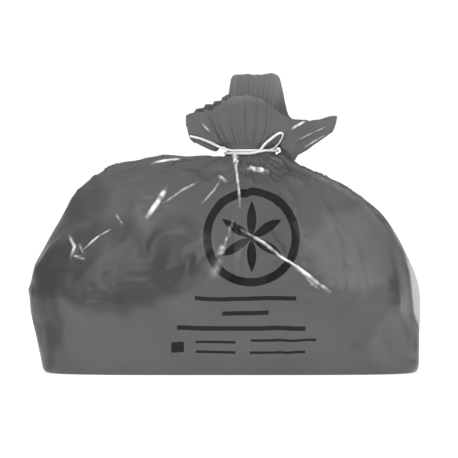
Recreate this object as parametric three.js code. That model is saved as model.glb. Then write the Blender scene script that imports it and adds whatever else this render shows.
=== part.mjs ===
// A garbage bag of plastic film, filled, gathered at its neck and closed with a twist tie.
// Millimetres, +Z up. The bag stands on the flat of its base at z = 0, the origin is the middle
// of that base, and the printed face looks towards -Y.
import * as THREE from "three";

// The filled body, as it stands on the floor
const baseWidth = 468;
const baseDepth = 190;
const baseEdgeRadius = 8;
const baseSquareness = 2.6; // 0 makes the base an oval, and more makes it a rounded rectangle
const leftSwell = 18; // how far each side stands out past the base
const rightSwell = 3;
const frontSwell = 22;
const backSwell = 22;
const swellHeight = 102; // height of the widest ring
const tieHeight = 273; // floor to the middle of the tie

// The gathered neck, which leans to the right of the base's middle
const neckOffset = 26;
const neckWidth = 64;
const neckDepth = 30;
const neckBand = 10; // the bare band that the tie closes on

// The open collar above the tie: two lobes at the sides and a tab that stands up behind
const rightReach = 106; // from the middle of the neck
const leftReach = 81;
const rightFoldRise = 24; // how far the underside of each lobe's tip lies above the tie
const leftFoldRise = 14;
const rightSag = 16; // how far the underside of each lobe hangs between the neck and its tip
const leftSag = 7;
const lobeStart = 0.125; // the share of each lobe next to the neck that stands clear of the tie
const lobeRise = 44; // the upper corner of each lobe's tip
const lobeGap = 9; // between the two layers of film at a lobe's tip
const frontRise = 70;
const tabRise = 97;
const tabWidth = 58;
const tabCentre = 6; // from the middle of the neck, towards +X
const collarDepth = 60; // front layer to back layer
const frontBelly = 5; // how far the front layer stands out between the neck and its edge
const filmWall = 1.6; // the two plies and folds of film, drawn as one wall

// The gathers that run out from the neck
const shoulderPleat = 3.6;
const collarPleat = 1.8;

// The soft folds and hollows of the slack film, all over the body
const slackFold = 5;

// The long folds that the tie pulls up across the front: each end's place across and up
const foldRise = 6;
const foldHalfWidth = 30;
const longFolds = [
  { from: [-2, 258], to: [-236, 130] },
  { from: [8, 262], to: [12, 205] },
  { from: [16, 176], to: [119, 104] },
  { from: [2, 190], to: [-20, 126] },
];

// The tie: one plastic-coated wire, once round the neck, with a straight tail and a bent-back tail
const tieDiameter = 2.6;
const tieClearance = 0.7;
const tieGap = 1; // between its two passes in front of the neck

// How finely the film and the tie are faceted
const around = 112;
const bodySteps = 26;
const collarSteps = 8;
const firstInnerStep = 2; // the pleats below this step of the collar are pressed solid
const tieSides = 8;
const tieSteps = 120;

const halfTurn = Math.PI;
const bandFloor = tieHeight - neckBand / 2;

// The shoulders, from the widest ring up to the neck: share of the way in, and share of the way up.
const leftShoulder = [[0.082, 0.313], [0.163, 0.539], [0.26, 0.765], [0.417, 0.916], [0.656, 0.985]];
const rightShoulder = [[0.11, 0.29], [0.235, 0.52], [0.42, 0.7], [0.622, 0.825], [0.832, 0.915]];
const frontShoulder = [[0.064, 0.235], [0.21, 0.445], [0.39, 0.615], [0.61, 0.766], [0.83, 0.89]];
const backShoulder = [[0.06, 0.25], [0.19, 0.47], [0.36, 0.65], [0.58, 0.8], [0.81, 0.91]];

// One side of the body as a curve from the base edge to the neck: x is how far out, y how high.
function sideProfile(baseOut, swell, neckOut, shoulder) {
  const widest = baseOut + swell;
  const low = [
    new THREE.Vector2(baseOut, baseEdgeRadius),
    new THREE.Vector2(baseOut + 0.5 * swell, swellHeight / 2),
    new THREE.Vector2(widest, swellHeight),
  ];
  const high = shoulder.map(
    ([inward, upward]) =>
      new THREE.Vector2(
        widest + inward * (neckOut - widest),
        swellHeight + upward * (bandFloor - swellHeight),
      ),
  );
  return new THREE.SplineCurve([...low, ...high, new THREE.Vector2(neckOut, bandFloor)]);
}

const profiles = {
  left: sideProfile(baseWidth / 2, leftSwell, neckWidth / 2 - neckOffset, leftShoulder),
  right: sideProfile(baseWidth / 2, rightSwell, neckWidth / 2 + neckOffset, rightShoulder),
  front: sideProfile(baseDepth / 2, frontSwell, neckDepth / 2, frontShoulder),
  back: sideProfile(baseDepth / 2, backSwell, neckDepth / 2, backShoulder),
};

// The gathers round the neck, from -1 to 1, uneven as hand-gathered film is.
function gathers(angle) {
  return (
    0.45 * Math.cos(8 * angle + 0.6) +
    0.35 * Math.cos(11 * angle + 2.1) +
    0.2 * Math.cos(5 * angle + 4.0)
  );
}

// The slack film's own folds, from -1 to 1. They slant as they run up the body, and they are weaker at
// its two ends, where the film is drawn tight.
function slack(angle, share) {
  const tight = 0.3 + 0.7 * Math.sin(angle) ** 2;
  const waves =
    0.35 * Math.cos(7 * angle + 12 * share + 0.6) +
    0.4 * Math.cos(15 * angle - 11 * share + 2.1) +
    0.25 * Math.cos(21 * angle + 16 * share + 4.0);
  return tight * waves;
}

// How far the long folds raise a point of the front.
function longFoldLift(x, z) {
  const heights = longFolds.map(({ from, to }) => {
    const [start, end] = [new THREE.Vector2(...from), new THREE.Vector2(...to)];
    const along = end.clone().sub(start);
    const place = new THREE.Vector2(x, z).sub(start);
    const share = THREE.MathUtils.clamp(place.dot(along) / along.lengthSq(), 0, 1);
    const distance = place.distanceTo(along.multiplyScalar(share));
    return foldRise * (1 - THREE.MathUtils.smoothstep(distance, 0, foldHalfWidth));
  });
  return Math.max(...heights);
}

const bend = (value, power) => Math.sign(value) * Math.abs(value) ** power;

// A point of the body. share runs from 0 at the base edge to 1 at the neck, and inset draws it in.
function bodyPoint(angle, share, inset = 0) {
  const [cos, sin] = [Math.cos(angle), Math.sin(angle)];
  const side = profiles[cos < 0 ? "left" : "right"].getPoint(share);
  const face = profiles[sin < 0 ? "front" : "back"].getPoint(share);
  const middle = neckOffset * share ** 2;
  const power = 2 / (2 + baseSquareness * (1 - share) ** 4);
  const reach = side.x - inset - Math.sign(cos) * middle;
  const x = reach * bend(cos, power);
  const y = (face.x - inset) * bend(sin, power);
  const up = side.y * cos ** 2 + face.y * sin ** 2;
  // Gathers and folds lift the film along its own normal, which turns upwards on the shoulders.
  const lean = 0.45 * halfTurn * share;
  const rise = THREE.MathUtils.smoothstep(share, 0.4, 0.85);
  const neckFade = 1 - THREE.MathUtils.smoothstep(share, 0.88, 1);
  const slackFade =
    THREE.MathUtils.smoothstep(share, 0, 0.12) * (1 - THREE.MathUtils.smoothstep(share, 0.6, 0.85));
  const long = sin < 0 ? longFoldLift(middle + x, up) * neckFade : 0;
  const lift =
    shoulderPleat * rise * neckFade * gathers(angle) + slackFold * slackFade * slack(angle, share) + long;
  const out = 1 + (lift * Math.cos(lean)) / Math.hypot(x, y);
  return new THREE.Vector3(middle + x * out, y * out, up + lift * Math.sin(lean));
}

// The free edge of the mouth, anticlockwise from the fold at the right lobe's tip, in equal steps of
// angle: out from the middle of the neck, towards the back, and up from the tie.
const edge = (x, depth, rise) => new THREE.Vector3(x, (depth * collarDepth) / 2, rise);
const rightLobe = (share, depth, rise) => edge(share * rightReach, depth, rise);
const leftLobe = (share, depth, rise) => edge(-share * leftReach, depth, rise);
const tab = (share, depth, rise) => edge(tabCentre + (share * tabWidth) / 2, depth, rise);
const lip = lobeGap / collarDepth;

const mouth = new THREE.CatmullRomCurve3(
  [
    rightLobe(0.95, 0, rightFoldRise),
    rightLobe(1, lip, lobeRise),
    rightLobe(0.7, 0.5, 0.89 * lobeRise),
    rightLobe(0.45, 0.85, 1.02 * lobeRise),
    tab(1, 1.1, 0.98 * tabRise),
    tab(0, 1.2, tabRise),
    tab(-1, 1.1, 0.98 * tabRise),
    tab(-1.2, 0.95, 0.76 * tabRise),
    leftLobe(0.53, 0.6, 1.45 * lobeRise),
    leftLobe(1, lip, lobeRise),
    leftLobe(0.94, 0, leftFoldRise),
    leftLobe(1, -lip, 0.98 * lobeRise),
    leftLobe(0.6, -0.6, 1.2 * lobeRise),
    leftLobe(0.36, -0.85, 0.95 * frontRise),
    leftLobe(0.08, -0.95, frontRise),
    rightLobe(0.11, -1, 0.94 * frontRise),
    rightLobe(0.26, -0.9, 0.79 * frontRise),
    rightLobe(0.43, -0.7, 0.98 * lobeRise),
    rightLobe(0.68, -0.42, 0.86 * lobeRise),
    rightLobe(1, -lip, 0.98 * lobeRise),
  ],
  true,
  "catmullrom",
  0.4,
);

// A point of the collar. share runs from 0 at the tie's band to 1 at the mouth.
function collarPoint(angle, share) {
  const turn = ((angle / (2 * halfTurn)) % 1 + 1) % 1;
  const rim = mouth.getPoint(turn);
  const neck = new THREE.Vector3(
    (neckWidth / 2) * Math.cos(angle),
    (neckDepth / 2) * Math.sin(angle),
    neckBand / 2,
  );
  const point = neck.clone().lerp(rim, share);
  const face = Math.sin(angle);
  const swell = Math.sin(halfTurn * share);
  const belly = frontBelly * swell * face * Math.abs(face);
  const pleat = collarPleat * Math.min(1, 2 * share) * Math.abs(face) * gathers(angle);
  return new THREE.Vector3(
    neckOffset + point.x + pleat * Math.cos(angle),
    point.y + belly + pleat * face,
    tieHeight + point.z,
  );
}

// The same point on the outside. The underside of each lobe is a pressed fold, which clears the tie,
// hangs over the shoulder and then rises to its tip.
function outerCollarPoint(angle, share) {
  const side = Math.cos(angle);
  const hang = Math.max(0, (share - lobeStart) / (1 - lobeStart)) ** 0.5;
  const sag = (side < 0 ? leftSag : rightSag) * side ** 6 * Math.sin(halfTurn * hang);
  return collarPoint(angle, share).sub(new THREE.Vector3(0, 0, sag));
}

// A point off the collar along the film's outward normal.
function offCollar(angle, share, distance) {
  const step = 1e-3;
  const here = collarPoint(angle, share);
  const beside = collarPoint(angle + step, share).sub(here);
  const above = here.clone().sub(collarPoint(angle, share - step));
  return here.addScaledVector(beside.cross(above).normalize(), distance);
}

// Joins rings of equal count into one closed skin, with a fan over each end.
function closedSkin(rings, firstCentre, lastCentre) {
  const positions = [firstCentre, ...rings.flat(), lastCentre].flatMap((p) => [p.x, p.y, p.z]);
  const at = (ring, i) => 1 + ring * around + (i % around);
  const last = 1 + rings.length * around;
  const faces = [];
  for (let i = 0; i < around; i++) {
    faces.push(0, at(0, i + 1), at(0, i));
    for (let ring = 0; ring < rings.length - 1; ring++) {
      faces.push(at(ring, i), at(ring, i + 1), at(ring + 1, i + 1));
      faces.push(at(ring, i), at(ring + 1, i + 1), at(ring + 1, i));
    }
    faces.push(at(rings.length - 1, i), at(rings.length - 1, i + 1), last);
  }
  const geometry = new THREE.BufferGeometry();
  geometry.setAttribute("position", new THREE.Float32BufferAttribute(positions, 3));
  geometry.setIndex(faces);
  geometry.computeVertexNormals();
  return geometry;
}

function ringOf(pointAt) {
  return Array.from({ length: around }, (_, i) => pointAt((2 * halfTurn * i) / around));
}

// The bag: one piece of film from its base seam to its mouth, here solid below the tie.
function bagGeometry() {
  const rings = [];
  for (const turn of [0, halfTurn / 4]) {
    const inset = baseEdgeRadius * (1 - Math.sin(turn));
    const height = baseEdgeRadius * (1 - Math.cos(turn));
    rings.push(ringOf((angle) => bodyPoint(angle, 0, inset).setZ(height)));
  }
  for (let step = 0; step <= bodySteps; step++) {
    rings.push(ringOf((angle) => bodyPoint(angle, step / bodySteps)));
  }
  for (let step = 0; step <= collarSteps; step++) {
    rings.push(ringOf((angle) => outerCollarPoint(angle, step / collarSteps)));
  }
  for (let step = collarSteps; step >= firstInnerStep; step--) {
    rings.push(ringOf((angle) => offCollar(angle, step / collarSteps, -filmWall)));
  }
  const well = rings[rings.length - 1].reduce((sum, p) => sum.add(p), new THREE.Vector3());
  return closedSkin(rings, new THREE.Vector3(0, 0, 0), well.divideScalar(around));
}

// A point round the neck: degrees round it, out from its surface, and up from the tie.
function offNeck(degrees, out, up) {
  const turn = THREE.MathUtils.degToRad(degrees);
  return new THREE.Vector3(
    neckOffset + (neckWidth / 2 + out) * Math.cos(turn),
    (neckDepth / 2 + out) * Math.sin(turn),
    tieHeight + up,
  );
}

// The tie's route: along the left lobe to the neck, once round it and on to its front again, and
// then a bent-back loop that lies on the right lobe and ends in front of the neck.
function tieRoute() {
  const snug = tieDiameter / 2 + tieClearance;
  const onCollar = ([degrees, share, distance]) =>
    offCollar(THREE.MathUtils.degToRad(degrees), share, distance * tieDiameter + tieClearance);
  // Degrees round the neck, share of the way up the collar, and tie diameters off the film
  const leftTail = [
    [186, 0.97, 0.8], [187, 0.73, 0.8], [187.5, 0.56, 0.9], [188, 0.35, 1.2], [192, 0.13, 1.5],
  ];
  const bentBack = [
    [294, 0.15, 1.6], [301, 0.32, 1.3], [305, 0.46, 1.1], [308.5, 0.54, 1.1], [311.5, 0.52, 1.1],
    [314, 0.4, 1.2], [316, 0.22, 1.7], [312, 0.07, 2.3],
  ];
  const pitch = tieDiameter + tieGap;
  const [start, end, steps] = [222, 628, 32]; // degrees round the neck
  const ring = [];
  for (let i = 0; i <= steps; i++) {
    const drop = THREE.MathUtils.smoothstep(i / steps, 0.2, 0.85);
    ring.push(offNeck(start + ((end - start) * i) / steps, snug, pitch * (0.5 - drop)));
  }
  return new THREE.CatmullRomCurve3([
    ...leftTail.map(onCollar),
    ...ring,
    offNeck(285, snug + 1.2 * tieDiameter, 0.3 * pitch),
    ...bentBack.map(onCollar),
    offNeck(297, snug + 2.4 * tieDiameter, 0.5 * pitch),
    offNeck(283, snug + 2.3 * tieDiameter, 0),
  ]);
}

function tieGeometry() {
  const section = new THREE.Shape();
  for (let i = 0; i < tieSides; i++) {
    const turn = (2 * halfTurn * i) / tieSides;
    const x = (tieDiameter / 2) * Math.cos(turn);
    const y = (tieDiameter / 2) * Math.sin(turn);
    if (i === 0) section.moveTo(x, y);
    else section.lineTo(x, y);
  }
  section.closePath();
  const along = { steps: tieSteps, bevelEnabled: false, extrudePath: tieRoute() };
  return new THREE.ExtrudeGeometry(section, along);
}

function namedMesh(name, geometry, material) {
  const mesh = new THREE.Mesh(geometry, new THREE.MeshStandardMaterial(material));
  mesh.name = name;
  return mesh;
}

const tiedBag = new THREE.Group();
tiedBag.add(namedMesh("bag", bagGeometry(), { color: 0x5f5f5f, roughness: 0.3, metalness: 0 }));
tiedBag.add(namedMesh("twist_tie", tieGeometry(), { color: 0xe8e8e8, roughness: 0.4, metalness: 0 }));

export default tiedBag;
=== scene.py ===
# %% [markdown]
# # A tied garbage bag
# A filled bag of grey polyethylene film stands on its flat base. Its neck is gathered and closed with
# a white twist tie, and the free film above the tie opens into a collar.
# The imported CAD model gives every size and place. This file adds what the CAD leaves out: thin film
# with folds and creases, its gloss and its black print, and a tie made of wire and coating.

# %% Load the CAD model
import math

import bmesh
import bpy
import numpy as np
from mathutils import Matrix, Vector, noise


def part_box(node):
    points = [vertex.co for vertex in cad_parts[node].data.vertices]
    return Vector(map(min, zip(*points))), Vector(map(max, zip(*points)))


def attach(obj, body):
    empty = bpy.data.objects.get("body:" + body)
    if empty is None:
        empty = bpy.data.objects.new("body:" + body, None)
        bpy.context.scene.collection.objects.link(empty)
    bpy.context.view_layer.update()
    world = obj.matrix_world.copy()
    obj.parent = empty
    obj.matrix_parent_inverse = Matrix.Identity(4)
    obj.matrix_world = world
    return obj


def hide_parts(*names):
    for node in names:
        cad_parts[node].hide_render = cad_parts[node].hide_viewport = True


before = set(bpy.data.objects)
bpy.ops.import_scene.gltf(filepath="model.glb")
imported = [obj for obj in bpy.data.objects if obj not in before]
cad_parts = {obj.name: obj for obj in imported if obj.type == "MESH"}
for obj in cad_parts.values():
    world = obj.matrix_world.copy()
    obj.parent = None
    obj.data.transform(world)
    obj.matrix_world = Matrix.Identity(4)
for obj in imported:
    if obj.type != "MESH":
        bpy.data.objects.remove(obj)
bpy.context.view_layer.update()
mm = 0.001

# %% [markdown]
# ## Places seen in the photograph
# The photograph is taken almost level, from far away, so a pixel is the same length all over the
# bag's front. One function turns a pixel into a place across and up, and the camera, the creases and
# the print all use it.

# %% From pixels to metres
photo_width = 458
pixel = 1.25 * mm
axis_column = 230.5
floor_row = 369.2


def across_up(column, row):
    """The place across (X) and up (Z) that a pixel of the photograph shows."""
    return (column - axis_column) * pixel, (floor_row - row) * pixel


print("Top of the standing tab, m up:", round(across_up(256, 73)[1], 4))

# %% [markdown]
# ## The camera
# A long lens from four metres away keeps the base a straight line, as in the photograph. The camera
# is about level with the tie and looks slightly down, so a sliver of floor shows in front of the bag.

# %% Set up the camera
view_distance = 4.0
view_elevation = math.radians(1.6)
frame_width = photo_width * pixel
aim_across, aim_up = across_up(229, 228)
aim = Vector((aim_across, 0.0, aim_up))

camera_data = bpy.data.cameras.new("camera")
camera_data.sensor_width = 36.0
camera_data.lens = camera_data.sensor_width * view_distance / frame_width
camera_data.clip_end = 50.0
camera = bpy.data.objects.new("camera", camera_data)
bpy.context.scene.collection.objects.link(camera)
away = Vector((0.0, -math.cos(view_elevation), math.sin(view_elevation)))
camera.location = aim + view_distance * away
camera.rotation_euler = (math.radians(90) - view_elevation, 0.0, 0.0)
bpy.context.scene.camera = camera
print("Lens, mm:", round(camera_data.lens, 1))

# %% [markdown]
# ## The film's sheet
# The real bag is one tube of film, sealed across its base and open at its mouth. The CAD solid has
# that skin on its outside, from the middle of the base up to the mouth, and an inner wall behind the
# collar. A merged copy of it is walked ring by ring from the base, and everything past the mouth is
# cut away, which leaves one open sheet with the CAD's exact outline.

# %% Take the outer sheet off the CAD bag
def rings_from(first):
    """The vertices of a mesh, ring after ring, from the given first ring."""
    seen = set(first)
    found = [list(first)]
    while found[-1]:
        beside = dict.fromkeys(e.other_vert(v) for v in found[-1] for e in v.link_edges)
        found.append([v for v in beside if v not in seen])
        seen.update(found[-1])
    return found[:-1]


def mean_height(ring):
    """How high the middle of a ring of vertices is."""
    return sum(v.co.z for v in ring) / len(ring)


same_place = 0.01 * mm
any_angle = 3.2  # radians, more than half a turn, so every pair of triangles may join
film = bmesh.new()
film.from_mesh(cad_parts["bag"].data)
ring_layer = film.verts.layers.float.new("ring")
bmesh.ops.remove_doubles(film, verts=film.verts, dist=same_place)
floor_ring = [v for v in film.verts if v.co.z < same_place]
rings = rings_from(floor_ring)
heights = [mean_height(ring) for ring in rings]
mouth = next(i for i, height in enumerate(heights) if height > max(heights) - 1 * mm)
bmesh.ops.delete(film, geom=[v for ring in rings[mouth + 1:] for v in ring], context="VERTS")
bmesh.ops.join_triangles(
    film, faces=film.faces, angle_face_threshold=any_angle, angle_shape_threshold=any_angle,
)
print("Rings:", len(rings), "mouth at ring", mouth, "faces:", len(film.faces))

# %% [markdown]
# ## How far up the film each point lies
# The gathers, the creases and the loose film above the tie all depend on how far a point is from the
# tie. The ring numbers give that: 0 at the neck, negative below it, positive in the collar. A float
# layer keeps them while the sheet is made finer.

# %% Remember each ring's number on the film
tie_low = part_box("twist_tie")[0]
bag_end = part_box("bag")[1].x
neck_height = next(height for height in heights if height > tie_low.z - 3 * mm)
neck_ring = heights.index(neck_height)
neck_place = sum((v.co for v in rings[neck_ring]), Vector()) / len(rings[neck_ring])
for order, ring in enumerate(rings[:mouth + 1]):
    for vert in ring:
        vert[ring_layer] = order - neck_ring
print("Neck at ring", neck_ring, "height, m:", round(neck_height, 4))

# %% Make the sheet finer and remember how the film lay
def finer(sheet):
    """Cuts every edge in two and rounds the sheet as it does."""
    bmesh.ops.subdivide_edges(
        sheet, edges=sheet.edges, cuts=1, use_grid_fill=True, smooth=0.6, use_smooth_even=False,
    )


lay_layer = film.verts.layers.float_vector.new("lay")
finer(film)
for vert in film.verts:
    vert[lay_layer] = vert.co
film_mesh = bpy.data.meshes.new("bag_film")
film.to_mesh(film_mesh)
film.free()
bag_film = bpy.data.objects.new("bag_film", film_mesh)
bpy.context.scene.collection.objects.link(bag_film)
print("Film faces:", len(film_mesh.polygons))


# %% [markdown]
# ## Let the film buckle
# Film is bigger than the shape it wraps, so it buckles into soft folds. Cloth simulation makes the
# same folds: the sheet grows by a few per cent while its base, its neck and its collar are held, and
# a little pressure stands for the waste inside. The simulation also swells the whole bag, which the
# waste's own weight would stop. So the slow part of each move is smoothed out of its neighbours and
# taken away, and only the folds stay. Low down and at the two ends the film is drawn tight, so the
# folds are weaker there.

# %% Helpers for vertex moves
def ring_numbers(mesh):
    """How many rings above the tie each vertex lies. Below the tie the number is negative."""
    values = np.zeros(len(mesh.vertices))
    mesh.attributes["ring"].data.foreach_get("value", values)
    return values


def places_of(mesh):
    """Every vertex's place, one row each."""
    values = np.zeros(len(mesh.vertices) * 3)
    mesh.vertices.foreach_get("co", values)
    return values.reshape(-1, 3)


def normals_of(mesh):
    """Every vertex's normal, one row each."""
    values = np.zeros(len(mesh.vertices) * 3)
    mesh.vertex_normals.foreach_get("vector", values)
    return values.reshape(-1, 3)


def edges_of(mesh):
    """The two vertices that each edge joins."""
    ends = np.zeros(len(mesh.edges) * 2, int)
    mesh.edges.foreach_get("vertices", ends)
    return ends.reshape(-1, 2)


def slow_part(moves, edges, rounds):
    """The moves, averaged with their neighbours' again and again."""
    slow = moves.copy()
    count = np.bincount(edges.ravel(), minlength=len(moves))[:, None]
    for _ in range(rounds):
        total = np.zeros_like(slow)
        np.add.at(total, edges[:, 0], slow[edges[:, 1]])
        np.add.at(total, edges[:, 1], slow[edges[:, 0]])
        slow = 0.5 * slow + 0.5 * total / count
    return slow


def ramp(values, start, end):
    """0 before the start, 1 after the end, and a smooth rise between them."""
    share = np.clip((values - start) / (end - start), 0, 1)
    return share * share * (3 - 2 * share)


def soft_noise(places, size, shift=(0, 0, 0)):
    """A smooth noise at every place, from -1 to 1, with lumps of about the given size."""
    return np.array([noise.noise(Vector(p) / size + Vector(shift)) for p in places])


# %% Simulate the loose film
def fold_film(piece, growth, pressure, frames, cap):
    """Buckles the film by simulation, keeps the folds and lets no point move past the cap."""
    before = places_of(piece.data)
    # The base, the neck and the collar are held, and the hold fades away into the body.
    low = 1 - np.clip((before[:, 2] - 4 * mm) / (24 * mm), 0, 1)
    high = np.clip((ring_numbers(piece.data) + 2.5) / 2.0, 0, 1)
    hold = np.maximum(low, high)
    held = piece.vertex_groups.new(name="held")
    for index, weight in enumerate(hold):
        held.add([index], float(weight), "REPLACE")
    cloth = piece.modifiers.new("cloth", "CLOTH")
    settings = cloth.settings
    settings.quality = 6
    settings.mass = 0.15
    settings.tension_stiffness = 25.0
    settings.compression_stiffness = 25.0
    settings.shear_stiffness = 10.0
    settings.bending_stiffness = 0.15
    settings.vertex_group_mass = "held"
    settings.shrink_min = -growth
    settings.use_pressure = True
    settings.uniform_pressure_force = pressure
    settings.effector_weights.gravity = 0.0
    for frame_number in range(1, frames + 1):
        bpy.context.scene.frame_set(frame_number)
    shaped = piece.evaluated_get(bpy.context.evaluated_depsgraph_get()).data
    moves = places_of(shaped) - before
    piece.modifiers.remove(cloth)
    bpy.context.scene.frame_set(1)
    # Low down, and at the two ends, less of each fold is kept.
    loose = 0.35 + 0.65 * ramp(before[:, 2] / neck_height, 0.08, 0.5)
    loose *= 1 - 0.7 * ramp(np.abs(before[:, 0]) / bag_end, 0.65, 1.0)
    swelling = slow_part(moves, edges_of(piece.data), rounds=40)
    folds = (moves - swelling) * (loose * (1 - hold))[:, None]
    length = np.linalg.norm(folds, axis=1)
    folds *= np.minimum(1, cap / np.maximum(length, 1e-9))[:, None]
    piece.data.vertices.foreach_set("co", (before + folds).ravel())
    print("Furthest move, mm:", round(np.linalg.norm(moves, axis=1).max() / mm, 1),
          "deepest fold, mm:", round(length.max() / mm, 1))


fold_film(bag_film, growth=0.06, pressure=1.0, frames=24, cap=3.2 * mm)


# %% [markdown]
# ## The sharp creases
# A few creases catch the light: an upturned Y under the neck, a broken line along the left shoulder,
# and small bright facets. Their highlights are painted white into the film's colour. The soft folds at
# the end of the list get hardly any painted highlight. Each is a route across the front, with a height,
# a width, and how bright its painted highlight is. The sheet is cut finer along the shining ones before
# they are raised.

# %% Where the creases run
creases = [
    # route in pixels, height mm, half width mm, brightness of the painted highlight
    ([(235, 152), (236, 166), (238, 182), (240, 204)], 3.4, 4.0, 0.8),
    ([(235, 153), (235.5, 159), (236, 165)], 2.0, 10.0, 1.0),
    ([(233, 218), (226, 238), (219, 252), (214, 272)], 2.6, 3.2, 0.6),
    ([(241, 227), (262, 239), (282, 254), (303, 268), (328, 287)], 4.0, 4.0, 0.95),
    ([(292, 261), (306, 271), (326, 286)], 1.0, 6.0, 0.9),
    ([(302, 271), (316, 284)], 2.0, 2.6, 0.6),
    ([(223, 176), (214, 189), (203, 201)], 2.4, 3.6, 0.4),
    ([(219, 175), (227, 180)], 1.5, 6.0, 0.6),
    ([(200, 180), (184, 188), (165, 201)], 2.8, 3.6, 0.5),
    ([(167, 187), (160, 199), (149, 215)], 4.0, 9.0, 0.95),
    ([(113, 227), (101, 234), (86, 247)], 2.6, 3.2, 0.75),
    ([(117, 211), (125, 222)], 1.8, 3.4, 0.4),
    ([(72, 234), (78, 244), (73, 256)], 2.2, 5.0, 0.75),
    ([(77, 252), (88, 256)], 2.0, 4.4, 0.6),
    ([(82, 240), (86, 250)], 1.6, 3.0, 0.5),
    ([(248, 166), (257, 168), (267, 170)], 2.0, 8.0, 1.0),
    ([(153, 163.5), (168, 161.5), (181, 159.5)], 2.0, 6.0, 1.0),
    ([(292, 128), (298, 124), (305, 120)], 1.2, 5.0, 0.8),
    ([(296, 140), (312, 132), (329, 124)], 1.2, 3.0, 0.3),
    ([(304, 147), (314, 140), (325, 134)], 1.2, 3.4, 0.4),
    ([(202, 122), (210, 131)], 1.2, 4.0, 0.5),
    ([(100, 178), (130, 168), (176, 162), (218, 158)], 3.0, 8.0, 0.0),
    ([(96, 190), (126, 176), (170, 168), (214, 164)], 2.4, 7.0, 0.0),
    ([(278, 158), (305, 171), (333, 184), (362, 204), (384, 228)], 2.6, 7.0, 0.06),
    ([(284, 168), (318, 196), (336, 236), (340, 290)], 3.0, 9.0, 0.0),
    ([(322, 205), (352, 240), (362, 290)], 2.6, 8.0, 0.0),
    ([(270, 172), (292, 196), (300, 226)], 2.6, 7.0, 0.0),
]
routes = [np.array([across_up(*point) for point in crease[0]]) for crease in creases]


def distance_to(route, places):
    """How far each place is from a route, and how far along the route it is, from 0 to 1."""
    nearest = np.full(len(places), np.inf)
    along = np.zeros(len(places))
    for leg, (start, end) in enumerate(zip(route, route[1:])):
        step = end - start
        share = np.clip((places - start) @ step / (step @ step), 0, 1)
        distance = np.linalg.norm(places - start - share[:, None] * step, axis=1)
        along = np.where(distance < nearest, (leg + share) / (len(route) - 1), along)
        nearest = np.minimum(distance, nearest)
    return nearest, along


# %% Cut the sheet finer, most of all along the creases
shining = 0.3
margin = 1 * mm
film = bmesh.new()
film.from_mesh(film_mesh)
finer(film)
film.verts.ensure_lookup_table()
flat_places = np.array([(v.co.x, v.co.z) for v in film.verts])
faces_front = np.array([v.normal.y < 0.1 for v in film.verts])
near_crease = np.zeros(len(film.verts), bool)
for route, (_, _, width, shine) in zip(routes, creases):
    if shine >= shining:
        near_crease |= distance_to(route, flat_places)[0] < width * mm + margin
near_crease &= faces_front
fine_edges = [e for e in film.edges if all(near_crease[v.index] for v in e.verts)]
bmesh.ops.subdivide_edges(film, edges=fine_edges, cuts=1, use_grid_fill=True)
film.to_mesh(film_mesh)
film.free()
print("Film faces after the fine cuts:", len(film_mesh.polygons))

# %% [markdown]
# ## Smooth ends and sharp creases
# The waste stretches the film round the bag's two ends, so the real outline is a smooth line and the
# folds lie inside it. Each point near the outline is moved to the middle of its neighbours many times
# over, which draws the sheet tight there and nowhere else. Then every crease is raised along its
# route. Bump in the material would be quicker, but it wouldn't show in the mesh or change its edge.

# %% Draw the film tight along its outline
places = places_of(film_mesh)
normals = normals_of(film_mesh)
from_tie = ring_numbers(film_mesh)
tight = 1 - ramp(np.abs(normals[:, 1]), 0.12, 0.45)
tight *= ramp(places[:, 2], 14 * mm, 34 * mm) * (1 - ramp(from_tie, -4.5, -2.0))
places += tight[:, None] * (slow_part(places, edges_of(film_mesh), rounds=60) - places)
print("Points drawn tight:", int((tight > 0.5).sum()))

# %% Raise the creases and paint their highlights
lift = np.zeros(len(places))
painted_highlight = np.zeros(len(places))
# The white highlight painted along a ridge is broken into spots by noise.
broken = np.clip(0.8 + 1.3 * soft_noise(places, 8 * mm), 0.2, 1)
# The back isn't seen, so it gets the same creases from right to left, with dimmer painted highlights.
for side, dullness in ((-1, 1.0), (1, 0.35)):
    seen_from = places[:, [0, 2]] * (-side, 1)
    facing = ramp(side * normals[:, 1], 0.08, 0.4)
    square_on = ramp(side * normals[:, 1], 0.1, 0.4)
    for route, (_, height, width, shine) in zip(routes, creases):
        distance, along = distance_to(route, seen_from)
        taper = np.sin(np.pi * np.clip(0.06 + 0.88 * along, 0, 1)) ** 0.5 * facing
        lift += height * mm * taper * np.clip(1 - distance / (width * mm), 0, 1) ** 1.4
        core = np.clip(1.3 - distance / (0.3 * width * mm), 0, 1)
        core *= np.sin(np.pi * np.clip(along, 0.04, 0.96))
        # Painted highlight: white along the crest of each shining crease, on faces turned square on.
        glint = shine * dullness * np.clip(1.6 * core, 0, 1) * square_on * broken
        painted_highlight = np.maximum(painted_highlight, glint)
print("Creases:", len(creases), "brightest:", round(painted_highlight.max(), 2))

# %% [markdown]
# ## Gathers, lumps and the free edge
# The film is gathered at the tie, so sharp pleats run out from it on both sides and die away. The
# waste presses slow lumps into the body, and one thing in it pokes out a small nub at the left. The
# cut edge of the mouth is never quite straight: it is torn into small teeth on the left, and the
# lobes end in pointed tips.

# %% Shape the gathers and the lumps
gather_height = 3.2 * mm
gathers_start, gathers_full, gathers_die = 14 * mm, 34 * mm, 42 * mm
collar_pleat_height = 1.2 * mm
lump_height = 2.2 * mm
nub_height, nub_radius = 3.5 * mm, 6 * mm

outward = places - np.array(neck_place)
turn = np.arctan2(outward[:, 1], outward[:, 0])
reach = np.linalg.norm(outward, axis=1)


def pleats(angle, counts, phases):
    """Sharp ridges with round valleys between them, from -1 to 1."""
    waves = [1 - 2 * np.abs(np.sin(n * angle / 2 + p)) for n, p in zip(counts, phases)]
    return sum(waves) / len(waves)


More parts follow.
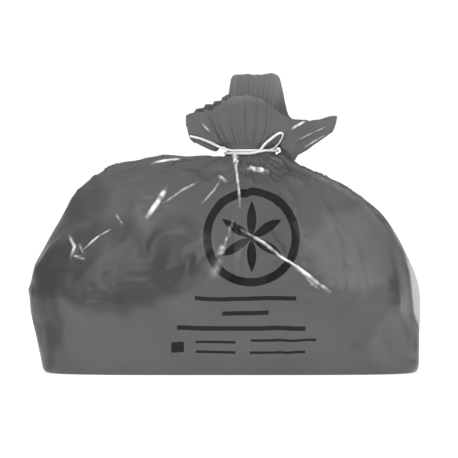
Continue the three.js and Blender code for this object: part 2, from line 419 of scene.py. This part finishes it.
wander = soft_noise(places, 45 * mm)
gathers = pleats(turn + 0.10 * wander, (17, 26, 37), (0.4, 1.9, 4.2))
body_fade = ramp(reach, gathers_start, gathers_full)
body_fade *= np.exp(-np.maximum(reach - gathers_full, 0) / gathers_die)
body = from_tie < -0.2
off_outline = 0.35 + 0.65 * ramp(np.abs(normals[:, 1]), 0.05, 0.4)
lift += np.where(body, gather_height * body_fade * gathers * off_outline, 0.0)
collar_fade = ramp(from_tie, 0.8, 3.5)
collar_pleats = pleats(turn + 0.08 * wander, (19, 31, 44), (1.1, 0.2, 3.0))
lift += np.where(from_tie > 0.8, collar_pleat_height * collar_fade * collar_pleats, 0.0)
lumps = soft_noise(places, 70 * mm) + 0.4 * soft_noise(places, 28 * mm)
settled = ramp(places[:, 2], 10 * mm, 45 * mm) * (1 - ramp(from_tie, -4.0, -1.0))
settled *= 1 - 0.6 * ramp(np.abs(places[:, 0]) / bag_end, 0.7, 1.0)
lift += lump_height * lumps * settled
nub_away = np.linalg.norm(places[:, [0, 2]] - across_up(27, 288), axis=1)
lift += nub_height * np.exp(-(nub_away / nub_radius) ** 2)
places = places + lift[:, None] * normals

# %% Shape the free edge and its two tips
ragged_height = 1.6 * mm
tooth_height, tooth_width = 4 * mm, 11 * mm
tip_radius, tip_pull = 10 * mm, 0.75

rim = ramp(from_tie, 7.2, 9.0)
ragged = soft_noise(places, 9 * mm)
torn_side = 1 - ramp(places[:, 0], across_up(226, 0)[0], across_up(232, 0)[0])
teeth = 0.5 - (places[:, 0] / tooth_width) % 1
places[:, 2] += rim * (ragged_height * ragged + tooth_height * torn_side * teeth)
for tip in (across_up(186, 115), across_up(337, 115)):
    away = np.array(tip) - places[:, [0, 2]]
    near = rim * np.exp(-(np.linalg.norm(away, axis=1) / tip_radius) ** 2)
    places[:, [0, 2]] += tip_pull * near[:, None] * away

# %% [markdown]
# ## The fold beside the tie
# On the real bag the right lobe folds over and hangs down beside the tie, and the film bulges up to
# meet it just below, so hardly any light shows between them. The lobe's lowest points are let down and
# the shoulder is let swell up, each over a few centimetres, in the bag's middle depth only.

# %% Let the right lobe's fold hang down beside the tie
fold_drop, fold_half_depth = 13 * mm, 9 * mm
swell_height, swell_half_width, swell_half_depth = 8 * mm, 8 * mm, 12 * mm

neck_side = neck_place.x + 36 * mm
beside_tie = ramp(places[:, 0], neck_side - 1 * mm, neck_side + 2 * mm)
beside_tie *= 1 - ramp(places[:, 0], neck_side + 12 * mm, neck_side + 24 * mm)
in_fold = np.exp(-(places[:, 1] / fold_half_depth) ** 2)
in_fold *= (from_tie > 0.8) * (1 - ramp(from_tie, 3.5, 5.5))
places[:, 2] -= fold_drop * beside_tie * in_fold
across_swell = (places[:, 0] - neck_side - 4 * mm) / swell_half_width
swell = np.exp(-across_swell ** 2 - (places[:, 1] / swell_half_depth) ** 2)
places[:, 2] += swell_height * swell * ramp(from_tie, -6.0, -2.5) * (from_tie < -0.2)
# The rounding of the finer sheet left some base points just under the floor.
places[:, 2] = np.maximum(places[:, 2], 0)
film_mesh.vertices.foreach_set("co", places.ravel())

# %% [markdown]
# ## The loose corner at the right
# Beside the waste, at the right, the two plies of film lie against each other and light comes through
# them. The sheet's depth is pinched in beyond the waste's own edge to make that ear. An attribute keeps
# the place where the colour is painted paler for that light, and it marks the collar and its tab a
# little too.

# %% Pinch the ear and mark where light through the film is painted paler
ear_squeeze = 0.88
waste_pixels = [(398, 236), (403, 254), (408, 272), (410, 292), (412, 312), (419, 332)]
waste_edge = np.array([across_up(*point) for point in waste_pixels])
edge_x = np.interp(places[:, 2], waste_edge[::-1, 1], waste_edge[::-1, 0])
ear_height = ramp(places[:, 2], across_up(0, 346)[1], across_up(0, 316)[1])
ear_height *= 1 - ramp(places[:, 2], across_up(0, 268)[1], across_up(0, 236)[1])
pinch = ramp(places[:, 0] - edge_x, -20 * mm, 7 * mm) * ear_height
ear = ramp(places[:, 0] - edge_x, 0.0, 4 * mm) * ear_height
places[:, 1] *= 1 - ear_squeeze * pinch
film_mesh.vertices.foreach_set("co", places.ravel())
collar_lit_through = ramp(from_tie, 0.5, 3.0)
tab_lit_through = ramp(places[:, 2], across_up(0, 108)[1], across_up(0, 90)[1]) * (from_tie > 1)
# Painted light: the film is painted paler where light comes through it, most on the ear.
thin_lit_through = np.maximum(ear, 0.04 * collar_lit_through + 0.14 * tab_lit_through)
for name, values in (("thin_lit_through", thin_lit_through), ("painted_highlight", painted_highlight)):
    attribute = film_mesh.attributes.new(name, "FLOAT", "POINT")
    attribute.data.foreach_set("value", values)
print("Ear points:", int((ear > 0.5).sum()))

# %% [markdown]
# ## The film's inside
# Below the tie nobody sees the inside of the film, but the collar is open. Its faces are copied
# inwards, turned round, joined to the outside along the mouth, and closed at the bottom, where the
# gathered film is squeezed tight. That makes one closed skin. Real film is about 0.04 mm thick. The
# wall is drawn ten times as thick, so that its two skins stay apart and its edge still looks thin.

# %% Line the collar
wall = 0.4 * mm
film = bmesh.new()
film.from_mesh(film_mesh)
ring_layer = film.verts.layers.float["ring"]
mouth_edges = [e for e in film.edges if e.is_boundary]
collar = [f for f in film.faces if min(v[ring_layer] for v in f.verts) >= 1.5]
lining = bmesh.ops.duplicate(film, geom=collar)["geom"]
lining_faces = [g for g in lining if isinstance(g, bmesh.types.BMFace)]
lining_verts = [g for g in lining if isinstance(g, bmesh.types.BMVert)]
for vert in lining_verts:
    vert.normal_update()
inward = [(vert, -wall * vert.normal) for vert in lining_verts]
for vert, step in inward:
    vert.co += step
bmesh.ops.reverse_faces(film, faces=lining_faces)
rims = [e for e in film.edges if e.is_boundary and e not in set(mouth_edges)]
top_ring = max(v[ring_layer] for v in film.verts)
lining_mouth = [e for e in rims if min(v[ring_layer] for v in e.verts) > top_ring - 0.1]
lining_foot = [e for e in rims if max(v[ring_layer] for v in e.verts) < top_ring - 1]
bmesh.ops.bridge_loops(film, edges=mouth_edges + lining_mouth)
foot = bmesh.ops.holes_fill(film, edges=lining_foot, sides=0)["faces"]
bmesh.ops.poke(film, faces=foot)
open_edges = sum(1 for e in film.edges if not e.is_manifold)
film.to_mesh(film_mesh)
triangles = sum(len(f.verts) - 2 for f in film.faces)
film.free()
print("Open edges:", open_edges, "triangles:", triangles, "outer mouth edges:", len(mouth_edges),
      "inner:", len(lining_mouth), "foot:", len(lining_foot))

# %% Finish the film's surface
for polygon in film_mesh.polygons:
    polygon.use_smooth = True
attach(bag_film, "root")
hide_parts("bag")

# %% [markdown]
# ## Colours and nodes
# Colours are written as they look on screen, and one function turns them into the linear values that
# Blender mixes. One more function adds a node, its settings and its links.

# %% Two small helpers
def linear(hex_colour):
    """A colour such as "5f5f5f" as linear red, green, blue and a full alpha."""
    parts = [int(hex_colour[i:i + 2], 16) / 255 for i in (0, 2, 4)]
    return (*[p / 12.92 if p <= 0.04045 else ((p + 0.055) / 1.055) ** 2.4 for p in parts], 1.0)


def add_node(tree, kind, inputs=None, **settings):
    """Adds a node. An input is a value, another node's output, or a node that gives its first output."""
    node = tree.nodes.new(kind)
    for name, value in settings.items():
        setattr(node, name, value)
    for name, value in (inputs or {}).items():
        if isinstance(value, bpy.types.Node):
            value = value.outputs[0]
        if isinstance(value, bpy.types.NodeSocket):
            tree.links.new(value, node.inputs[name])
        else:
            node.inputs[name].default_value = value
    return node


# %% [markdown]
# ## The black print
# The bag carries plain black print on its front. It is ink on the flat film, so it is drawn in the
# film's own unfolded place, and it bends with every fold. It is a ring round a six-petalled rosette,
# as drawn with compasses, over some ruled lines and a square.

# %% Where the ink is
rosette_across, rosette_up = across_up(251, 234)
petal_length = 42 * mm
ring_radius = 54 * mm
ring_half_width = 5 * mm
ruled = [
    # middle column and row in pixels, half width and half height in mm
    (245, 293, 62, 2.6), (245, 307, 28, 2.6), (241, 322, 78, 2.8), (179, 341, 8, 6.5),
    (216, 336, 24, 1.6), (216, 346, 24, 1.6), (282, 334, 40, 1.6), (276, 346, 34, 1.6),
]


def print_mask(tree):
    """Adds the nodes that are 1 where there is ink and 0 elsewhere, and returns the last of them."""
    math_node = "ShaderNodeMath"
    vector_node = "ShaderNodeVectorMath"
    lay = add_node(tree, "ShaderNodeAttribute", attribute_name="lay")
    part = add_node(tree, "ShaderNodeSeparateXYZ", {0: lay.outputs["Vector"]})
    part_x, part_y, part_z = part.outputs
    across = add_node(tree, math_node, {0: part_x, 1: rosette_across}, operation="SUBTRACT")
    up = add_node(tree, math_node, {0: part_z, 1: rosette_up}, operation="SUBTRACT")
    centred = add_node(tree, "ShaderNodeCombineXYZ", {0: across, 1: up})
    radius = add_node(tree, vector_node, {0: centred}, operation="LENGTH").outputs["Value"]
    ink = add_node(tree, math_node, {0: radius, 1: ring_radius, 2: ring_half_width}, operation="COMPARE")
    # Every petal is the same, so the angle is folded into half a petal and one compass arc bounds it.
    angle = add_node(tree, math_node, {0: across, 1: up}, operation="ARCTAN2")
    half_petal = add_node(tree, math_node, {0: angle, 1: math.radians(30)}, operation="PINGPONG")
    cosine = add_node(tree, math_node, {0: half_petal}, operation="COSINE")
    sine = add_node(tree, math_node, {0: half_petal}, operation="SINE")
    direction = add_node(tree, "ShaderNodeCombineXYZ", {0: cosine, 1: sine})
    petal = add_node(tree, vector_node, {0: direction, "Scale": radius}, operation="SCALE")
    compass_turn = math.radians(60)
    compass = (petal_length * math.cos(compass_turn), -petal_length * math.sin(compass_turn), 0.0)
    distance = add_node(tree, vector_node, {0: petal, 1: compass}, operation="DISTANCE").outputs["Value"]
    inside = add_node(tree, math_node, {0: distance, 1: petal_length}, operation="LESS_THAN")
    ink = add_node(tree, math_node, {0: ink, 1: inside}, operation="MAXIMUM")
    for column, row, half_width, half_height in ruled:
        line_across, line_up = across_up(column, row)
        wide = add_node(
            tree, math_node, {0: part_x, 1: line_across, 2: half_width * mm}, operation="COMPARE",
        )
        high = add_node(
            tree, math_node, {0: part_z, 1: line_up, 2: half_height * mm}, operation="COMPARE",
        )
        line = add_node(tree, math_node, {0: wide, 1: high}, operation="MULTIPLY")
        ink = add_node(tree, math_node, {0: ink, 1: line}, operation="MAXIMUM")
    front_only = add_node(tree, math_node, {0: part_y, 1: 0.0}, operation="LESS_THAN")
    return add_node(tree, math_node, {0: ink, 1: front_only}, operation="MULTIPLY")


# %% [markdown]
# ## The film
# Low-density polyethylene is blown as a tube, wound flat and cut, so it is smooth and glossy and a
# little cloudy. Its front carries painted shade and painted light as darker and lighter patches. Its
# refractive index is 1.51. New film has a roughness of about 0.2, and handled film more, so here it goes
# from 0.28 to 0.44 in patches of about 35 mm. The highlights along the sharp creases are painted into
# its colour as white. Where nothing lies behind it, light comes through and it looks paler: here that is
# drawn as a paler grey, because a see-through skin would also show the empty inside of the model.

# %% Painted shade and light on the film's front
shade_and_light_patches = [
    # middle in pixels, half size in pixels, painted shade (-1) or painted light (1)
    ((112, 264), (68, 46), -1.0), ((178, 250), (32, 36), -0.8), ((44, 312), (24, 58), -1.0),
    ((118, 346), (46, 22), 0.1), ((84, 196), (30, 22), -0.6), ((352, 246), (46, 42), 1.0),
    ((392, 338), (28, 28), 0.5), ((396, 282), (12, 22), -0.5), ((262, 330), (70, 26), 0.1),
    ((240, 120), (34, 24), -0.4), ((316, 124), (22, 16), -0.2),
]
shade_and_light_strength = 0.45
tone = np.full(len(film_mesh.vertices), 0.5)
places = places_of(film_mesh)
front = ramp(-places[:, 1], -30 * mm, 50 * mm)
ripple = soft_noise(places, 22 * mm)
cloud = soft_noise(places, 60 * mm, shift=(7, 3, 5))
# Each patch darkens or lightens the front: painted shade or painted light.
for middle, half, depth in shade_and_light_patches:
    across, up = across_up(*middle)
    far = np.hypot((places[:, 0] - across) / half[0], (places[:, 2] - up) / half[1]) / pixel
    tone += shade_and_light_strength * depth * (1 - ramp(far + 0.25 * ripple, 0.75, 1.15)) * front
# The patches are on the front only, so the back is clouded more strongly.
tone += (0.5 - 0.38 * front) * cloud
attribute = film_mesh.attributes.new("tone", "FLOAT", "POINT")
attribute.data.foreach_set("value", np.clip(tone, 0, 1))
print("Tone runs from", round(float(tone.min()), 2), "to", round(float(tone.max()), 2))


# %% Film material
def polyethylene_film():
    """Blown low-density polyethylene film: dark grey with broad soft highlights, painted shade and light
    patches, painted white crease highlights and a painted paler grey where light comes through.
    """
    material = bpy.data.materials.new("polyethylene_film")
    material.use_nodes = True
    tree = material.node_tree
    tree.nodes.clear()
    place = add_node(tree, "ShaderNodeTexCoord")
    tone_here = add_node(tree, "ShaderNodeAttribute", attribute_name="tone")
    thin_lit_through_here = add_node(tree, "ShaderNodeAttribute", attribute_name="thin_lit_through")
    painted_highlight_here = add_node(tree, "ShaderNodeAttribute", attribute_name="painted_highlight")
    colour = add_node(
        tree, "ShaderNodeMix",
        {"Factor": tone_here.outputs["Fac"], 6: linear("3e3e3e"), 7: linear("656565")},
        data_type="RGBA",
    )
    for factor, hex_colour in (
        (print_mask(tree), "060606"),
        # Painted light: a paler grey where light comes through thin film.
        (thin_lit_through_here.outputs["Fac"], "c2c2c2"),
        # Painted highlight: white along the shining creases.
        (painted_highlight_here.outputs["Fac"], "ffffff"),
    ):
        colour = add_node(
            tree, "ShaderNodeMix", {"Factor": factor, 6: colour.outputs[2], 7: linear(hex_colour)},
            data_type="RGBA",
        )
    handling = add_node(
        tree, "ShaderNodeTexNoise",
        {"Vector": place.outputs["Object"], "Scale": 1 / (35 * mm), "Detail": 2.0},
    )
    gloss = add_node(
        tree, "ShaderNodeMapRange",
        {"Value": handling, "From Min": 0.3, "From Max": 0.7, "To Min": 0.28, "To Max": 0.44},
    )
    crinkle = add_node(
        tree, "ShaderNodeTexNoise",
        {"Vector": place.outputs["Object"], "Scale": 1 / (7 * mm), "Detail": 3.0, "Roughness": 0.5},
    )
    relief = add_node(
        tree, "ShaderNodeBump",
        {"Height": crinkle.outputs["Fac"], "Strength": 0.25, "Distance": 0.6 * mm},
    )
    shader = add_node(
        tree, "ShaderNodeBsdfPrincipled",
        {"Base Color": colour.outputs[2], "Roughness": gloss, "IOR": 1.51, "Specular IOR Level": 0.26,
         "Normal": relief},
    )
    add_node(tree, "ShaderNodeOutputMaterial", {"Surface": shader.outputs["BSDF"]})
    return material


film_mesh.materials.append(polyethylene_film())

# %% [markdown]
# ## The twist tie
# A twist tie is a soft steel wire inside a flat strip of white vinyl: a round core with a thin wing
# on each side. The CAD has its route as a round solid. The middle of each ring of that solid is a
# point of the route, and the strip's section is swept along it.

# %% Read the tie's route off the CAD solid
tie_solid = bmesh.new()
tie_solid.from_mesh(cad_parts["twist_tie"].data)
bmesh.ops.remove_doubles(tie_solid, verts=tie_solid.verts, dist=same_place)
tie_sides = 8  # as the CAD solid has
tip = min(tie_solid.verts, key=lambda v: v.co.x)
cap = sorted(tie_solid.verts, key=lambda v: (v.co - tip.co).length)[:tie_sides]
middles = []
for ring in rings_from(cap):
    middles.append(sum((v.co for v in ring), Vector()) / len(ring))
tie_solid.free()
tie_length = sum((b - a).length for a, b in zip(middles, middles[1:]))
print("Tie rings:", len(middles), "length, mm:", round(tie_length / mm))

# %% The strip's section
core_radius = 0.7 * mm
wing_reach = 1.5 * mm
wing_half_thickness = 0.22 * mm
section = [(wing_reach, -wing_half_thickness), (wing_reach, wing_half_thickness)]
for degrees in range(20, 161, 20):
    turn_by = math.radians(degrees)
    section.append((core_radius * math.cos(turn_by), core_radius * math.sin(turn_by)))
section += [(-wing_reach, wing_half_thickness), (-wing_reach, -wing_half_thickness)]
for degrees in range(200, 341, 20):
    turn_by = math.radians(degrees)
    section.append((core_radius * math.cos(turn_by), core_radius * math.sin(turn_by)))


def curve_object(name, points, closed):
    """A curve of straight steps through the points."""
    data = bpy.data.curves.new(name, "CURVE")
    data.dimensions = "3D"
    spline = data.splines.new("POLY")
    spline.points.add(len(points) - 1)
    for target, point in zip(spline.points, points):
        target.co = (*point, 1.0)
    spline.use_cyclic_u = closed
    made = bpy.data.objects.new(name, data)
    bpy.context.scene.collection.objects.link(made)
    return made


# %% Sweep the strip along the route
# The strip rocks a little as it goes, as a hand-wound tie does: so far, so fast, from this start.
rock, rock_per_ring, rock_start = 0.3, 0.21, 0.8
strip_section = curve_object("strip_section", [(y, x, 0.0) for x, y in section], closed=True)
strip_route = curve_object("strip_route", middles, closed=False)
strip_route.data.bevel_mode = "OBJECT"
strip_route.data.bevel_object = strip_section
strip_route.data.use_fill_caps = True
strip_route.data.twist_mode = "MINIMUM"
for index, point in enumerate(strip_route.data.splines[0].points):
    point.tilt = rock * math.sin(rock_per_ring * index + rock_start)
evaluated = strip_route.evaluated_get(bpy.context.evaluated_depsgraph_get())
swept = bpy.data.meshes.new_from_object(evaluated)
swept.name = "tie_strip"
tie_strip = bpy.data.objects.new("tie_strip", swept)
bpy.context.scene.collection.objects.link(tie_strip)
for spare in (strip_route, strip_section):
    bpy.data.objects.remove(spare)
strip = bmesh.new()
strip.from_mesh(swept)
bmesh.ops.remove_doubles(strip, verts=strip.verts, dist=same_place / 2)
bmesh.ops.recalc_face_normals(strip, faces=strip.faces)
strip.to_mesh(swept)
print("Strip open edges:", sum(1 for e in strip.edges if not e.is_manifold), "faces:", len(strip.faces))
strip.free()
for polygon in swept.polygons:
    polygon.use_smooth = True
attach(tie_strip, "root")
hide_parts("twist_tie")


# %% [markdown]
# ## The tie's coating
# The wire is run through a die with hot vinyl, so the strip is smooth and evenly white. Its refractive
# index is 1.53 and its gloss is softer than the film's. Handling leaves it very slightly uneven.

# %% Tie material
def vinyl_coating():
    """Plasticised vinyl over a steel wire: the one bright white thing on the dark film."""
    material = bpy.data.materials.new("vinyl_coating")
    material.use_nodes = True
    tree = material.node_tree
    tree.nodes.clear()
    place = add_node(tree, "ShaderNodeTexCoord")
    handled = add_node(
        tree, "ShaderNodeTexNoise", {"Vector": place.outputs["Object"], "Scale": 1 / (6 * mm)},
    )
    colour = add_node(
        tree, "ShaderNodeMix",
        {"Factor": handled.outputs["Fac"], 6: linear("f4f4f2"), 7: linear("e2e2de")}, data_type="RGBA",
    )
    shader = add_node(
        tree, "ShaderNodeBsdfPrincipled",
        {"Base Color": colour.outputs[2], "Roughness": 0.38, "IOR": 1.53},
    )
    add_node(tree, "ShaderNodeOutputMaterial", {"Surface": shader.outputs["BSDF"]})
    return material


swept.materials.clear()
swept.materials.append(vinyl_coating())

# %% [markdown]
# ## Floor and light
# The photograph has a white ground without a horizon, and a faint shadow under the bag. A white table
# with a little light of its own does the same. The film is glossy, so the black print stays black only
# where it mirrors something dark: the room is bright behind and above the bag and dim in front of it.
# Two soft boxes in front, the stronger one at the left, draw the highlights on the shoulders.

# %% The table
table = bmesh.new()
bmesh.ops.create_grid(table, x_segments=1, y_segments=1, size=10.0)
table_mesh = bpy.data.meshes.new("table")
table.to_mesh(table_mesh)
table.free()
table_top = bpy.data.objects.new("table", table_mesh)
bpy.context.scene.collection.objects.link(table_top)
acrylic = bpy.data.materials.new("opal_acrylic")
acrylic.use_nodes = True
acrylic.node_tree.nodes.clear()
acrylic_shader = add_node(
    acrylic.node_tree, "ShaderNodeBsdfPrincipled",
    {"Base Color": linear("ffffff"), "Roughness": 0.7, "IOR": 1.49,
     "Emission Color": linear("ffffff"), "Emission Strength": 0.5},
)
add_node(acrylic.node_tree, "ShaderNodeOutputMaterial", {"Surface": acrylic_shader})
table_mesh.materials.append(acrylic)

# %% The room
room = bpy.data.worlds.new("studio")
bpy.context.scene.world = room
room.use_nodes = True
room.node_tree.nodes.clear()
look = add_node(room.node_tree, "ShaderNodeTexCoord")
look_part = add_node(room.node_tree, "ShaderNodeSeparateXYZ", {0: look.outputs["Generated"]})
behind = add_node(
    room.node_tree, "ShaderNodeMapRange",
    {"Value": look_part.outputs["Y"], "From Min": 0.8, "From Max": 0.97, "To Min": 0.22, "To Max": 1.05},
)
above = add_node(
    room.node_tree, "ShaderNodeMapRange",
    {"Value": look_part.outputs["Z"], "From Min": 0.3, "From Max": 0.9, "To Min": 0.0, "To Max": 1.0},
)
brightness = add_node(room.node_tree, "ShaderNodeMath", {0: behind, 1: above}, operation="MAXIMUM")
glow = add_node(room.node_tree, "ShaderNodeBackground", {"Color": (1, 1, 1, 1), "Strength": brightness})
add_node(room.node_tree, "ShaderNodeOutputWorld", {"Surface": glow})
bpy.context.scene.view_settings.view_transform = "Standard"


# %% The lamps
def area_light(name, place, size, power):
    """A square soft box that looks at the middle of the bag."""
    data = bpy.data.lights.new(name, "AREA")
    data.size = size
    data.energy = power
    light = bpy.data.objects.new(name, data)
    bpy.context.scene.collection.objects.link(light)
    light.location = place
    light.rotation_euler = (aim - Vector(place)).to_track_quat("-Z", "Y").to_euler()


area_light("key", (-1.1, -2.1, 1.7), size=1.8, power=36)
area_light("fill", (1.7, -1.9, 1.1), size=1.6, power=14)
